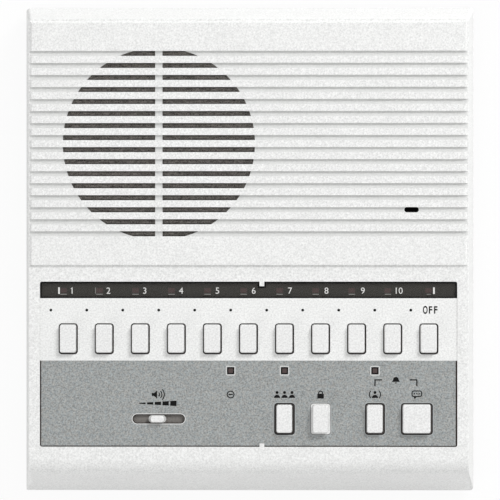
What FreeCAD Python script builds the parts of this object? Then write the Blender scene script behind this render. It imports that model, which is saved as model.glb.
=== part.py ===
import FreeCAD, Part
import math
import os
import re
import Sketcher

# Desk intercom, lying on its feet: +Z out of its face, +Y towards the loudspeaker end,
# +X to the right, origin in the middle of the surface it stands on. Millimetres.

STATIONS = 10
GROOVES = 16

# Driving dimensions. An inset or margin is measured from the case's edge, a row from the panel
# opening's lower edge.
SIZES = {
    # Case
    "case_width": 190.0, "case_length": 205.0, "foot_height": 2.0, "rear_edge_height": 4.0,
    "face_rise": 37.8, "step_height": 1.2, "step_margin": 6.95, "wall": 2.5, "face_wall": 2.3,
    "side_draft": 3.5, "top_draft": 6.8, "front_slope_angle": 14.6, "front_edge_radius": 6.7,
    "rim_radius": 0.4, "corner_radius": 1.6, "top_bevel_margin": 0.7, "top_bevel_width": 0.9,
    "side_bevel_margin": 0.45, "side_bevel_width": 0.9,
    # Grille
    "groove_pitch": 5.0, "groove_width": 2.1, "first_groove_inset": 21.15,
    "speaker_inset": 57.7, "grille_radius": 40.0, "grille_bar_width": 3.0,
    "microphone_inset": 27.2, "microphone_slot_length": 6.0, "microphone_slot_width": 2.2,
    # Panel opening in the cover, its lugs, and the panel
    "opening_side_margin": 8.2, "opening_end_margin": 20.25, "opening_length": 68.7,
    "opening_corner_radius": 0.9, "lug_x": 5.6, "lug_width": 2.0, "lug_notch_gap": 0.5,
    "upper_lug_reach": 1.9, "lower_lug_reach": 1.4,
    "panel_drop": 0.4, "panel_gap": 0.15, "flange_overlap": 1.4, "flange_thickness": 2.0,
    "overlay_thickness": 0.3, "overlay_length": 35.85,
    "strip_width": 6.9, "window_thickness": 1.2, "card_thickness": 0.25, "window_drop": 0.15,
    # Station keys and call keys
    "key_inset": 20.0, "key_row": 44.9,
    "key_width": 7.35, "key_length": 12.3, "key_hole_width": 8.0, "key_hole_length": 12.95,
    "key_rise": 2.4, "key_taper": 3.2, "key_corner_radius": 0.9, "key_edge_radius": 0.4,
    "key_hole_radius": 1.4, "key_flange_margin": 0.65, "key_flange_thickness": 1.0,
    "cap_offset_x": -0.1, "cap_offset_y": 0.1, "skirt_gap": 0.2, "skirt_drop": 3.9,
    "key_rest_gap": 0.3, "key_travel": 3.0, "stem_width": 2.6, "stem_length": 3.6,
    "stem_engagement": 4.0, "notch_depth": 0.5, "notch_height": 1.0,
    "call_row": 11.6, "call_key_width": 7.1, "call_key_length": 12.3,
    "call_hole_width": 8.6, "call_hole_length": 13.3,
    "all_call_inset": 80.0, "lock_inset": 65.0, "private_inset": 42.4, "talk_inset": 25.0,
    "talk_key_width": 12.2, "talk_key_length": 12.6, "talk_hole_width": 13.3,
    "talk_hole_length": 13.3, "private_hole_width": 8.35, "private_key_width": 7.2,
    "all_call_rise": 1.8, "lock_rise": 3.2, "private_rise": 2.4, "talk_rise": 2.6,
    # Return springs
    "spring_radius": 2.6, "spring_wire_radius": 0.25, "spring_turns": 4, "spring_end_gap": 0.05,
    # Switches on the main board
    "board_level": 22.5, "board_thickness": 1.6, "switch_height": 8.0,
    "switch_width": 14.0, "switch_margin": 6.0, "stem_clearance": 0.15,
    "latch_thickness": 0.8, "latch_width": 6.0, "latch_level": 4.9, "latch_travel": 1.2,
    "latch_overhang": 1.4, "latch_stem_gap": 0.3, "latch_slot_clearance": 0.15,
    "call_switch_width": 10.0, "call_switch_length": 12.0,
    # Volume control
    "volume_share": 0.215, "volume_slot_length": 21.8, "volume_slot_width": 3.9,
    "volume_travel": 13.5, "volume_rest": -0.55,
    "volume_web": 1.0, "shutter_thickness": 0.6, "shutter_width": 7.0, "shutter_play": 0.15,
    "shutter_overlap": 1.2, "knob_length": 7.3, "knob_width": 3.2, "knob_base_rise": 0.5,
    "knob_cap_length": 5.8, "knob_cap_width": 2.9, "knob_cap_rise": 2.0,
    "knob_cap_radius": 1.1, "lever_length": 3.0, "lever_width": 1.2, "lever_fit": 0.05,
    "lever_cover": 1.3, "potentiometer_length": 34.0, "potentiometer_width": 9.0,
    "potentiometer_height": 7.0, "lever_slot_depth": 4.3, "lever_slot_clearance": 0.2,
    "lever_foot_gap": 0.3,
    # Lamps
    "lamp_offset": -2.0, "lamp_row": 65.05, "lamp_width": 2.9, "lamp_length": 2.1,
    "lamp_height": 6.0, "lamp_gap": 0.15, "lead_size": 0.5, "lead_spacing": 1.9,
    "indicator_row": 31.65, "indicator_size": 2.8, "indicator_height": 7.0,
    "indicator_drop": 0.2, "occupied_lamp_inset": 102.4,
    # Loudspeaker
    "cloth_thickness": 0.5, "cloth_radius": 42.5, "gasket_thickness": 3.0,
    "basket_radius": 45.0, "basket_rim_width": 7.0, "basket_sheet": 1.0, "basket_depth": 16.0,
    "basket_shoulder_radius": 42.0, "basket_seat_radius": 25.0, "basket_window_radius": 6.0,
    "basket_window_count": 6, "pole_radius": 9.6, "pole_gap": 0.9,
    "cone_radius": 34.0, "cone_sheet": 0.5, "surround_width": 5.5, "surround_rise": 1.1,
    "coil_radius": 11.5, "dome_rise": 3.4, "magnet_radius": 22.0, "magnet_height": 8.0,
    "magnet_bore": 12.5, "yoke_thickness": 2.0, "clamp_radius": 6.0, "clamp_thickness": 1.0,
    "post_radius": 3.0, "speaker_post_distance": 49.0,
    # Microphone
    "boot_radius": 6.6, "boot_wall": 1.4, "boot_height": 8.0, "capsule_radius": 5.0,
    "capsule_height": 6.4, "microphone_ring_wall": 1.4, "microphone_ring_height": 8.0,
    "microphone_fit": 0.1,
    # Screws and their posts
    "pilot_radius": 1.3, "screw_radius": 1.25, "screw_length": 6.0, "screw_head_radius": 2.75,
    "screw_head_height": 2.0, "screw_crown": 0.6, "screw_tip": 0.9, "cross_width": 0.8,
    "cross_length": 3.2, "cross_depth": 1.1, "screw_hole_radius": 1.7, "pilot_spare": 0.3,
    "case_post_radius": 4.0, "case_post_inset": 13.0, "upper_post_inset": 15.5,
    "lower_post_inset": 13.5,
    "case_post_level": 12.0, "seat_thickness": 2.5, "rear_boss_radius": 5.0,
    "counterbore_radius": 3.5, "board_post_inset": 15.0, "board_post_row": 28.0,
    "middle_post_gap": 13.0, "middle_post_row": 22.0, "inner_post_offset": 8.0,
    "outer_post_inset": 17.0, "far_post_gap": 5.5, "near_post_gap": 11.0,
    # Boards and what stands on them
    "board_inset": 11.0, "board_margin": 1.0, "board_waist_gap": 0.3, "board_end_inset": 22.0,
    "board_arm_offset": 53.3, "board_hole_radius": 1.6,
    "terminal_margin": 3.0, "terminal_inset": 58.5, "terminal_width": 14.0,
    "terminal_height": 11.0, "terminal_count": 12, "terminal_hole_radius": 1.8,
    "terminal_hole_depth": 4.0, "terminal_hole_y": 2.5,
    "transformer_share": 0.27, "transformer_inset": 57.5, "core_length": 20.0, "core_width": 10.0,
    "core_height": 14.0, "winding_length": 12.0, "winding_width": 17.0, "winding_height": 11.0,
    "capacitor_share": 0.7, "capacitor_inset": 60.5, "capacitor_radius": 4.0,
    "capacitor_height": 13.0, "capacitor_spacing": 11.0, "capacitor_count": 3,
    # Rear cover
    "rear_inset": 1.0, "rear_floor": 2.5, "rim_thickness": 2.0, "rim_height": 4.0,
    "rim_gap": 0.9, "rear_corner_radius": 2.0, "cable_entry_length": 30.0,
    "cable_entry_width": 20.0, "cable_entry_y": 10.0, "cable_entry_radius": 3.0,
    "wall_screw_spacing": 83.5, "wall_slot_width": 4.4, "wall_slot_length": 10.0,
    "foot_radius": 6.0, "foot_inset": 29.0, "upper_foot_inset": 12.5, "lower_foot_inset": 10.5,
    "foot_recess": 0.5, "foot_fit": 0.2, "foot_edge": 0.5,
    # How far a cut runs past a face, and a post into the wall that carries it, the gap round
    # a piece that is pressed in, and the share of its width that rounds a slot's end
    "overrun": 1.0, "root_depth": 0.5, "seat_gap": 0.05, "end_share": 0.499,
}

# Levels and places worked out from the driving dimensions
PLACES = {
    "cover_level": "foot_height + rear_edge_height",
    "face_level": "cover_level + face_rise",
    "top_level": "face_level + step_height",
    "ceiling": "face_level - face_wall",
    "front_run": "tan(front_slope_angle)",
    "opening_width": "case_width - 2 * opening_side_margin",
    "opening_low_y": "opening_end_margin - case_length / 2",
    "opening_high_y": "opening_low_y + opening_length",
    "opening_y": "opening_low_y + opening_length / 2",
    "overlay_high_y": "opening_low_y + overlay_length",
    "strip_low_y": "opening_high_y - strip_width",
    "key_x": "key_inset - case_width / 2",
    "key_pitch": f"(case_width - 2 * key_inset) / {STATIONS}",
    "key_y": "opening_low_y + key_row",
    "call_key_y": "opening_low_y + call_row",
    "all_call_x": "case_width / 2 - all_call_inset",
    "lock_x": "case_width / 2 - lock_inset",
    "private_x": "case_width / 2 - private_inset",
    "talk_x": "case_width / 2 - talk_inset",
    "volume_x": "-volume_share * opening_width",
    "lamp_y": "opening_low_y + lamp_row",
    "indicator_y": "opening_low_y + indicator_row",
    "occupied_lamp_x": "case_width / 2 - occupied_lamp_inset",
    "step_y": "opening_high_y + step_margin",
    "first_groove_y": "case_length / 2 - first_groove_inset",
    "speaker_x": "speaker_inset - case_width / 2",
    "microphone_x": "case_width / 2 - microphone_inset",
    "case_post_x": "case_width / 2 - case_post_inset",
    "upper_post_y": "case_length / 2 - upper_post_inset",
    "lower_post_y": "lower_post_inset - case_length / 2",
    "board_width": "case_width - 2 * board_inset",
    "board_low_y": "opening_low_y + board_margin",
    "board_waist_y": "opening_high_y + board_waist_gap",
    "board_high_y": "case_length / 2 - board_end_inset",
    "board_arm_x": "speaker_x + board_arm_offset",
    "board_arm_width": "board_width / 2 - board_arm_x",
    "board_post_x": "case_width / 2 - board_post_inset",
    "board_post_y": "opening_low_y + board_post_row",
    "middle_post_x": "all_call_x - middle_post_gap",
    "middle_post_y": "opening_low_y + middle_post_row",
    "inner_post_x": "board_arm_x + inner_post_offset",
    "outer_post_x": "case_width / 2 - outer_post_inset",
    "far_post_y": "board_high_y - far_post_gap",
    "near_post_y": "board_waist_y + near_post_gap",
    "terminal_x": "board_arm_x + board_arm_width / 2",
    "terminal_y": "case_length / 2 - terminal_inset",
    "terminal_length": "board_arm_width - 2 * terminal_margin",
    "transformer_x": "board_arm_x + transformer_share * board_arm_width",
    "transformer_y": "case_length / 2 - transformer_inset",
    "capacitor_x": "board_arm_x + capacitor_share * board_arm_width",
    "capacitor_y": "case_length / 2 - capacitor_inset",
    "foot_x": "case_width / 2 - foot_inset",
    "upper_foot_y": "case_length / 2 - upper_foot_inset",
    "lower_foot_y": "lower_foot_inset - case_length / 2",
    "speaker_y": "first_groove_y - 7.5 * groove_pitch",
    "microphone_y": "first_groove_y - 13 * groove_pitch",
    "panel_level": "face_level - panel_drop",
    "flange_level": "ceiling - flange_thickness",
    "recess_level": "panel_level - overlay_thickness",
    "window_level": "panel_level - window_drop",
    "card_level": "window_level - window_thickness",
    "strip_level": "card_level - card_thickness",
    "key_flange_level": "flange_level - key_rest_gap - key_flange_thickness",
    "board_top": "board_level + board_thickness",
    "switch_level": "board_top + switch_height",
    "stem_end": "switch_level - stem_engagement",
    "latch_z": "board_top + latch_level",
    "web_level": "recess_level - volume_web",
    "shutter_top": "web_level - shutter_play",
    "shutter_level": "shutter_top - shutter_thickness",
    "knob_x": "volume_x + volume_rest",
    "knob_level": "shutter_top + shutter_play",
    "knob_top": "panel_level + knob_base_rise + knob_cap_rise",
    "basket_level": "ceiling - cloth_thickness - gasket_thickness - basket_sheet",
    "yoke_level": "basket_level - basket_depth - basket_sheet - magnet_height",
    "rear_top": "foot_height + rear_floor",
    "shutter_reach": "volume_slot_length / 2 + volume_travel / 2 + shutter_overlap",
    "post_reach": "speaker_post_distance * sqrt(2) / 2",
}

doc = FreeCAD.newDocument("desk_intercom")
sheet = doc.addObject("Spreadsheet::Sheet", "Sizes")
for row, (alias, amount) in enumerate(SIZES.items(), 1):
    sheet.set(f"A{row}", alias)
    sheet.set(f"B{row}", str(amount))
    sheet.setAlias(f"B{row}", alias)
doc.recompute()


def size(alias):
    """A driving dimension as the sheet holds it."""
    return float(sheet.get(alias))


def bound(text):
    """An expression for the sheet, with the worked-out places written out in full."""
    while any(word in PLACES for word in re.findall(r"[a-z_]+", text)):
        text = re.sub(r"[a-z_]+", lambda m: f"({PLACES[m[0]]})" if m[0] in PLACES else m[0], text)
    return re.sub(r"[a-z_]+", lambda m: f"Sizes.{m[0]}" if m[0] in SIZES else m[0], text)


def place(item, x, y, z):
    for axis, text in zip("xyz", (x, y, z)):
        item.setExpression(f"Placement.Base.{axis}", bound(text))
    return item


def box(name, low, high):
    """A box between two corners, each three expressions."""
    item = doc.addObject("Part::Box", name)
    for side, start, end in zip(("Length", "Width", "Height"), low, high):
        item.setExpression(side, bound(f"({end}) - ({start})"))
    return place(item, *low)


def around(name, x, y, length, width, low, high):
    """A box centred on x, y, from level low to level high."""
    return box(name, (f"{x} - ({length}) / 2", f"{y} - ({width}) / 2", low),
               (f"{x} + ({length}) / 2", f"{y} + ({width}) / 2", high))


def rod(name, x, y, radius, low, high):
    item = doc.addObject("Part::Cylinder", name)
    item.setExpression("Radius", bound(radius))
    item.setExpression("Height", bound(f"({high}) - ({low})"))
    return place(item, x, y, low)


def joined(name, *pieces):
    item = doc.addObject("Part::MultiFuse", name)
    item.Shapes = list(pieces)
    item.Refine = True
    return item


def within(name, sheet_, space):
    """What of a sheet lies inside a space, such as the rounded outline of its plate."""
    item = doc.addObject("Part::Common", name)
    item.Base = sheet_
    item.Tool = space
    return item


def group(name, pieces):
    """Separate pieces of one kind, kept as separate solids."""
    item = doc.addObject("Part::Compound", name)
    item.Links = list(pieces)
    return item


def less(name, base, *tools):
    item = doc.addObject("Part::Cut", name)
    item.Base = base
    item.Tool = tools[0] if len(tools) == 1 else joined(name + "_cuts", *tools)
    item.Refine = True
    return item


def outline(body, name, role, points):
    """A closed sketch of straight lines on one of the body's own planes."""
    sketch = body.newObject("Sketcher::SketchObject", name)
    plane = next(item for item in body.Origin.OriginFeatures if item.Role == role)
    sketch.AttachmentSupport = [(plane, "")]
    sketch.MapMode = "FlatFace"
    count = len(points)
    turns = [FreeCAD.Vector(math.cos(2 * math.pi * i / count), math.sin(2 * math.pi * i / count), 0)
             for i in range(count)]
    for i in range(count):
        sketch.addGeometry(Part.LineSegment(turns[i], turns[(i + 1) % count]), False)
    for i in range(count):
        sketch.addConstraint(Sketcher.Constraint("Coincident", i, 2, (i + 1) % count, 1))
    for i, point in enumerate(points):
        for kind, start, text in zip(("DistanceX", "DistanceY"), turns[i], point):
            index = sketch.addConstraint(Sketcher.Constraint(kind, -1, 1, i, 1, start))
            sketch.setExpression(f"Constraints[{index}]", bound(text))
    return sketch


def rounded(body, name, edges, radius):
    for item in body.Group:
        item.recompute()
    solid = body.Tip
    names = [f"Edge{i}" for i, edge in enumerate(solid.Shape.Edges, 1) if edges(edge)]
    fillet = body.newObject("PartDesign::Fillet", name)
    fillet.Base = (solid, names)
    fillet.setExpression("Radius", bound(radius))
    body.Tip = fillet
    fillet.recompute()


def upright(edge):
    box_ = edge.BoundBox
    return box_.ZLength > 2 * (box_.XLength + box_.YLength)


def slab(name, x, y, length, width, low, high, radius, taper=None, edge_radius=None):
    """A block centred on x, y with rounded upright corners, tapered and rounded on top if asked."""
    body = doc.addObject("PartDesign::Body", name)
    half_length, half_width = f"({length}) / 2", f"({width}) / 2"
    sketch = outline(body, name + "_outline", "XY_Plane",
                     [(f"-{half_length}", f"-{half_width}"), (half_length, f"-{half_width}"),
                      (half_length, half_width), (f"-{half_length}", half_width)])
    pad = body.newObject("PartDesign::Pad", name + "_pad")
    pad.Profile = sketch
    pad.setExpression("Length", bound(f"({high}) - ({low})"))
    if taper:
        pad.setExpression("TaperAngle", bound(f"-{taper}"))
    rounded(body, name + "_corners", upright, radius)
    if edge_radius:
        top = max(corner.Z for corner in body.Tip.Shape.Vertexes)
        rounded(body, name + "_edges",
                lambda edge: min(corner.Z for corner in edge.Vertexes) > top - 1e-6, edge_radius)
    return place(body, x, y, low)


def turned(name, x, y, low, points):
    """A solid turned about an upright axis through x, y, from points of radius and height."""
    body = doc.addObject("PartDesign::Body", name)
    sketch = outline(body, name + "_outline", "XZ_Plane", points)
    turn = body.newObject("PartDesign::Revolution", name + "_turn")
    turn.Profile = sketch
    turn.ReferenceAxis = (sketch, ["V_Axis"])
    return place(body, x, y, low)


parts = {}


def part(name, item):
    """Keeps a finished piece under the name that it carries."""
    item.Label = name
    parts[name] = item
    return item


def case_block(name, profile, flank):
    """A solid with the profile along its length, trimmed on both sides outside the flank."""
    body = doc.addObject("PartDesign::Body", name)
    pad = body.newObject("PartDesign::Pad", name + "_pad")
    pad.Profile = outline(body, name + "_profile", "YZ_Plane", profile)
    pad.Midplane = True
    pad.setExpression("Length", bound("case_width + 2 * overrun"))
    for hand, sign in (("left", "-"), ("right", "")):
        edge = [(f"{sign}({x})", z) for x, z in flank]
        trim = body.newObject("PartDesign::Pocket", f"{name}_{hand}_trim")
        trim.Profile = outline(body, f"{name}_{hand}_flank", "XZ_Plane", edge)
        trim.Midplane = True
        trim.setExpression("Length", bound("2 * case_length"))
    return body


# Front cover: a drafted shell with a raised, grooved loudspeaker field above a lower panel field
half_width, half_length = "case_width / 2", "case_length / 2"
field_half_width = f"{half_width} - side_draft - side_bevel_margin - side_bevel_width"
cover_outer = case_block(
    "cover_outer",
    [(f"-{half_length}", "cover_level"), (half_length, "cover_level"),
     (f"{half_length} - top_draft", "face_level"),
     (f"{half_length} - top_draft - top_bevel_margin", "face_level"),
     (f"{half_length} - top_draft - top_bevel_margin - top_bevel_width", "top_level"),
     ("step_y", "top_level"), ("step_y", "face_level"),
     (f"-{half_length} + face_rise * front_run", "face_level")],
    [(half_width, "cover_level"), (f"{half_width} - side_draft", "face_level"),
     (f"{half_width} - side_draft - side_bevel_margin", "face_level"),
     (field_half_width, "top_level"), (field_half_width, "top_level + overrun"),
     (f"{half_width} + 2 * overrun", "top_level + overrun"),
     (f"{half_width} + 2 * overrun", "cover_level - overrun"),
     (f"{half_width}", "cover_level - overrun")])
doc.recompute()
face_z = size("foot_height") + size("rear_edge_height") + size("face_rise")


def across(edge):
    """Edges that run the whole width of the case."""
    return edge.BoundBox.XLength > 0.8 * size("case_width") and edge.BoundBox.YLength < 1e-6


def front_corner(edge):
    box_ = edge.BoundBox
    near_end = box_.YMax < -size("case_length") / 4
    return across(edge) and near_end and abs(box_.ZMin - face_z) < 1e-6


def upper_corner(edge):
    return edge.BoundBox.YMin > 0 and edge.BoundBox.ZLength > 0.9 * size("face_rise")


def rim_radii(edge):
    """Radii at both ends of the face level's rim and of the lower corners, which widen downwards."""
    box_ = edge.BoundBox
    narrow, wide = size("rim_radius"), size("corner_radius")
    rim_x = size("case_width") / 2 - size("side_draft")
    rim_y = size("case_length") / 2 - size("top_draft")
    flank = rim_x - 1e-6 < abs(box_.Center.x) < rim_x + size("side_draft")
    if box_.YMin > 0:
        return (narrow, narrow) if across(edge) and abs(box_.YMin - rim_y) < 1e-6 else None
    if not flank or box_.ZMax < face_z / 2:
        return None
    if box_.ZMin > face_z / 2:
        return narrow, narrow
    climbs = edge.valueAt(edge.FirstParameter).z < edge.valueAt(edge.LastParameter).z
    return (wide, narrow) if climbs else (narrow, wide)


rounded(cover_outer, "corner_edges", upper_corner, "corner_radius")
rounded(cover_outer, "front_edge", front_corner, "front_edge_radius")
doc.recompute()
eased_cover = doc.addObject("Part::Fillet", "eased_cover")
eased_cover.Base = cover_outer
eased_cover.Edges = [(number, *rim_radii(edge))
                     for number, edge in enumerate(cover_outer.Shape.Edges, 1)
                     if rim_radii(edge)]

cover_inner = case_block(
    "cover_inner",
    [(f"-{half_length} + wall", "cover_level - overrun"),
     (f"{half_length} - wall", "cover_level - overrun"), (f"{half_length} - wall", "cover_level"),
     (f"{half_length} - wall - top_draft * (ceiling - cover_level) / face_rise", "ceiling"),
     (f"-{half_length} + wall + (ceiling - cover_level) * front_run", "ceiling"),
     (f"-{half_length} + wall", "cover_level")],
    [(f"{half_width} - wall", "cover_level"),
     (f"{half_width} - wall - side_draft * (ceiling - cover_level) / face_rise", "ceiling"),
     (f"{half_width} - wall - side_draft * (ceiling - cover_level) / face_rise",
      "ceiling + overrun"),
     (f"{half_width} + 2 * overrun", "ceiling + overrun"),
     (f"{half_width} + 2 * overrun", "cover_level - 2 * overrun"),
     (f"{half_width} - wall", "cover_level - 2 * overrun")])
doc.recompute()
ceiling_z = face_z - size("face_wall")
rounded(cover_inner, "inner_front_edge",
        lambda edge: across(edge) and edge.BoundBox.YMax < 0
        and abs(edge.BoundBox.ZMin - ceiling_z) < 1e-6, "front_edge_radius - wall")

grooves = [box(f"groove_{i + 1}",
               (f"-{half_width}", f"first_groove_y - {i} * groove_pitch - groove_width / 2",
                "face_level"),
               (half_width, f"first_groove_y - {i} * groove_pitch + groove_width / 2",
                "top_level + overrun")) for i in range(GROOVES)]
slots = [box(f"slot_{i + 1}",
             (f"-{half_width}", f"first_groove_y - {i} * groove_pitch - groove_width / 2",
              "ceiling - overrun"),
             (half_width, f"first_groove_y - {i} * groove_pitch + groove_width / 2",
              "top_level + overrun")) for i in range(GROOVES)]
grille_disc = rod("grille_disc", "speaker_x", "speaker_y", "grille_radius",
                  "ceiling - 2 * overrun", "top_level")
slot_area = within("slot_area", joined("all_slots", *slots), grille_disc)
grille_bar = around("grille_bar", "speaker_x", "speaker_y", "grille_bar_width",
                    "2 * grille_radius", "ceiling - 2 * overrun", "top_level")
grille_slots = less("grille_slots", slot_area, grille_bar)
microphone_slot = slab("microphone_slot", "microphone_x", "microphone_y",
                       "microphone_slot_length", "microphone_slot_width",
                       "ceiling - overrun", "top_level + overrun",
                       "end_share * microphone_slot_width")
panel_opening = slab("panel_opening", "0", "opening_y", "opening_width", "opening_length",
                     "ceiling - overrun", "face_level + overrun", "opening_corner_radius")

case_posts = [(f"{sign}case_post_x", y) for sign in ("-", "")
              for y in ("lower_post_y", "upper_post_y")]
speaker_posts = [(f"speaker_x {i} post_reach", f"speaker_y {j} post_reach")
                 for i in "-+" for j in "-+"]
cover_board_posts = [("inner_post_x", "far_post_y"), ("outer_post_x", "far_post_y"),
                     ("outer_post_x", "near_post_y")]
post_root = "ceiling + root_depth"


def posts(name, places, radius, level, root, sheet_thickness):
    """Posts down to a level, and the pilots of the screws that pass a sheet to reach them."""
    bosses = [rod(f"{name}_{i}", x, y, radius, level, root)
              for i, (x, y) in enumerate(places, 1)]
    pilots = [rod(f"{name}_{i}_pilot", x, y, "pilot_radius", f"{level} - overrun",
                  f"{level} + screw_length + pilot_spare - {sheet_thickness}")
              for i, (x, y) in enumerate(places, 1)]
    return bosses, pilots


case_bosses, case_pilots = posts("case_post", case_posts, "case_post_radius",
                                 "case_post_level", post_root, "seat_thickness")
speaker_bosses, speaker_pilots = posts("speaker_post", speaker_posts, "post_radius",
                                       "basket_level", post_root, "clamp_thickness")
board_bosses, board_pilots = posts("board_post", cover_board_posts, "post_radius",
                                   "board_top", post_root, "board_thickness")
microphone_ring = rod("microphone_ring", "microphone_x", "microphone_y",
                      "boot_radius + microphone_fit + microphone_ring_wall",
                      "ceiling - microphone_ring_height", post_root)
microphone_bore = rod("microphone_bore", "microphone_x", "microphone_y",
                      "boot_radius + microphone_fit", "ceiling - microphone_ring_height - overrun",
                      "ceiling")
upper_lug = around("upper_lug", "lug_x", "opening_high_y - (upper_lug_reach - overrun) / 2",
                   "lug_width", "upper_lug_reach + overrun",
                   "window_level + seat_gap", "face_level")
lower_lug = around("lower_lug", "lug_x", "opening_low_y + (lower_lug_reach - overrun) / 2",
                   "lug_width", "lower_lug_reach + overrun",
                   "panel_level + seat_gap", "face_level")
cover_shell = less("cover_shell", eased_cover, cover_inner, grille_slots, *grooves,
                   panel_opening)
inner_posts = within("inner_posts", joined("all_posts", *case_bosses, *speaker_bosses,
                                           *board_bosses, microphone_ring), eased_cover)
cover_with_posts = joined("cover_with_posts", cover_shell, inner_posts, upper_lug, lower_lug)
part("front_cover", less("cover", cover_with_posts, microphone_slot, microphone_bore,
                         *case_pilots, *speaker_pilots, *board_pilots))

# Control panel: a plate in the opening, held behind the cover's face by its flange
panel_half = "(opening_width / 2 - panel_gap)"
strip_high_y = "opening_high_y - panel_gap"
panel_plate = slab("panel_plate", "0", "opening_y", "opening_width - 2 * panel_gap",
                   "opening_length - 2 * panel_gap", "ceiling - root_depth", "panel_level",
                   "opening_corner_radius - panel_gap")
panel_flange = around("panel_flange", "0", "opening_y", "opening_width + 2 * flange_overlap",
                      "opening_length + 2 * flange_overlap", "flange_level", "ceiling")
station_xs = [f"key_x + {i} * key_pitch" for i in range(STATIONS + 1)]
call_keys = {"all_call_key": ("all_call_x", "call_key_width", "call_key_length",
                              "call_hole_width", "call_hole_length", "all_call_rise"),
             "lock_key": ("lock_x", "call_key_width", "call_key_length",
                          "call_hole_width", "call_hole_length", "lock_rise"),
             "private_key": ("private_x", "private_key_width", "call_key_length",
                             "private_hole_width", "call_hole_length", "private_rise"),
             "talk_key": ("talk_x", "talk_key_width", "talk_key_length",
                          "talk_hole_width", "talk_hole_length", "talk_rise")}
key_holes = [slab(f"station_hole_{i}", x, "key_y", "key_hole_width", "key_hole_length",
                  "flange_level - overrun", "panel_level + overrun", "key_hole_radius")
             for i, x in enumerate(station_xs, 1)]
call_holes = [slab(f"{name}_hole", x, "call_key_y", width, length,
                   "flange_level - overrun", "panel_level + overrun", "key_hole_radius")
              for name, (x, _, _, width, length, _) in call_keys.items()]
volume_slot = slab("volume_slot", "volume_x", "call_key_y", "volume_slot_length",
                   "volume_slot_width", "flange_level - overrun", "panel_level + overrun",
                   "end_share * volume_slot_width")
shutter_way = around("shutter_way", "volume_x", "call_key_y",
                     "2 * (shutter_reach + shutter_play) + volume_travel",
                     "shutter_width + 2 * shutter_play", "flange_level - overrun", "web_level")
indicator_xs = ["occupied_lamp_x", "all_call_x", "private_x"]
indicator_holes = [around(f"indicator_hole_{i}", x, "indicator_y",
                          "indicator_size + 2 * lamp_gap", "indicator_size + 2 * lamp_gap",
                          "flange_level - overrun", "panel_level + overrun")
                   for i, x in enumerate(indicator_xs, 1)]
lamp_xs = [f"{x} + lamp_offset" for x in station_xs[:-1]] + [station_xs[-1]]
lamp_holes = [around(f"lamp_hole_{i}", x, "lamp_y", "lamp_width + 2 * lamp_gap",
                     "lamp_length + 2 * lamp_gap", "flange_level - overrun",
                     "panel_level + overrun") for i, x in enumerate(lamp_xs, 1)]
strip_channel = box("strip_channel", (f"-{panel_half} - overrun", "strip_low_y", "strip_level"),
                    (f"{panel_half} + overrun", f"{strip_high_y} + overrun",
                     "panel_level + overrun"))
overlay_recess = box("overlay_recess",
                     (f"-{panel_half} - overrun", "opening_low_y", "recess_level"),
                     (f"{panel_half} + overrun", "overlay_high_y", "panel_level + overrun"))
panel_openings = joined("panel_openings", *key_holes, *call_holes, volume_slot,
                        *indicator_holes)
panel_board_posts = [("-board_post_x", "board_post_y"), ("board_post_x", "board_post_y"),
                     ("middle_post_x", "middle_post_y")]
panel_bosses, panel_pilots = posts("panel_post", panel_board_posts, "post_radius",
                                   "board_top", "flange_level + root_depth",
                                   "board_thickness")
part("control_panel", less("panel", joined("panel_block", panel_plate, panel_flange,
                                           *panel_bosses),
                           panel_openings, shutter_way, strip_channel, overlay_recess,
                           *lamp_holes, *panel_pilots))
overlay_sheet = box("overlay_sheet",
                    (f"-{panel_half}", "opening_low_y + panel_gap", "recess_level"),
                    (panel_half, "overlay_high_y", "panel_level"))
part("panel_overlay", less("overlay", within("overlay_outline", overlay_sheet, panel_plate),
                           panel_openings))

# Directory strip: a printed card under a smoked window
window_low_y = "strip_low_y + seat_gap"
window_sheet = box("window_sheet", (f"-{panel_half}", window_low_y, "card_level + seat_gap"),
                   (panel_half, strip_high_y, "window_level"))
lug_notch = around("lug_notch", "lug_x", strip_high_y, "lug_width + 2 * lug_notch_gap",
                   "2 * (upper_lug_reach + lug_notch_gap)", "card_level - overrun",
                   "window_level + overrun")
part("directory_window", less("window", within("window_outline", window_sheet, panel_plate),
                              lug_notch))
card_sheet = box("card_sheet", (f"-{panel_half}", window_low_y, "strip_level"),
                 (panel_half, strip_high_y, "card_level"))
card_windows = [around(f"card_window_{i}", x, "lamp_y", "lamp_width", "lamp_length",
                       "strip_level - overrun", "card_level + overrun")
                for i, x in enumerate(lamp_xs, 1)]
part("directory_card", less("card", within("card_outline", card_sheet, panel_plate),
                            *card_windows))


# Keys: a tapered cap, a little off the middle of the skirt that fills the panel's hole, over a
# flange that stops it under the panel, and a stem into its switch
def key(name, x, y, width, length, hole_width, hole_length, rise):
    flange_top = "key_flange_level + key_flange_thickness"
    cap = slab(f"{name}_cap", f"{x} + cap_offset_x", f"{y} + cap_offset_y", width, length,
               f"{flange_top} - root_depth", f"face_level + {rise}", "key_corner_radius",
               "key_taper", "key_edge_radius")
    skirt = slab(f"{name}_skirt", x, y, f"{hole_width} - 2 * skirt_gap",
                 f"{hole_length} - 2 * skirt_gap", f"{flange_top} - root_depth",
                 f"face_level + {rise} - skirt_drop", "key_hole_radius - skirt_gap")
    flange = around(f"{name}_flange", x, y, f"{hole_width} + 2 * key_flange_margin",
                    f"{hole_length} + 2 * key_flange_margin", "key_flange_level", flange_top)
    stem = around(f"{name}_stem", x, y, "stem_width", "stem_length", "stem_end",
                  "key_flange_level + root_depth")
    notch = around(f"{name}_notch", f"{x} + stem_width / 2", y, "2 * notch_depth",
                   "stem_length + overrun", "stem_end + notch_height",
                   "stem_end + 2 * notch_height")
    part(name, less(f"{name}_moulding", joined(f"{name}_body", cap, skirt, flange, stem), notch))


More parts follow.
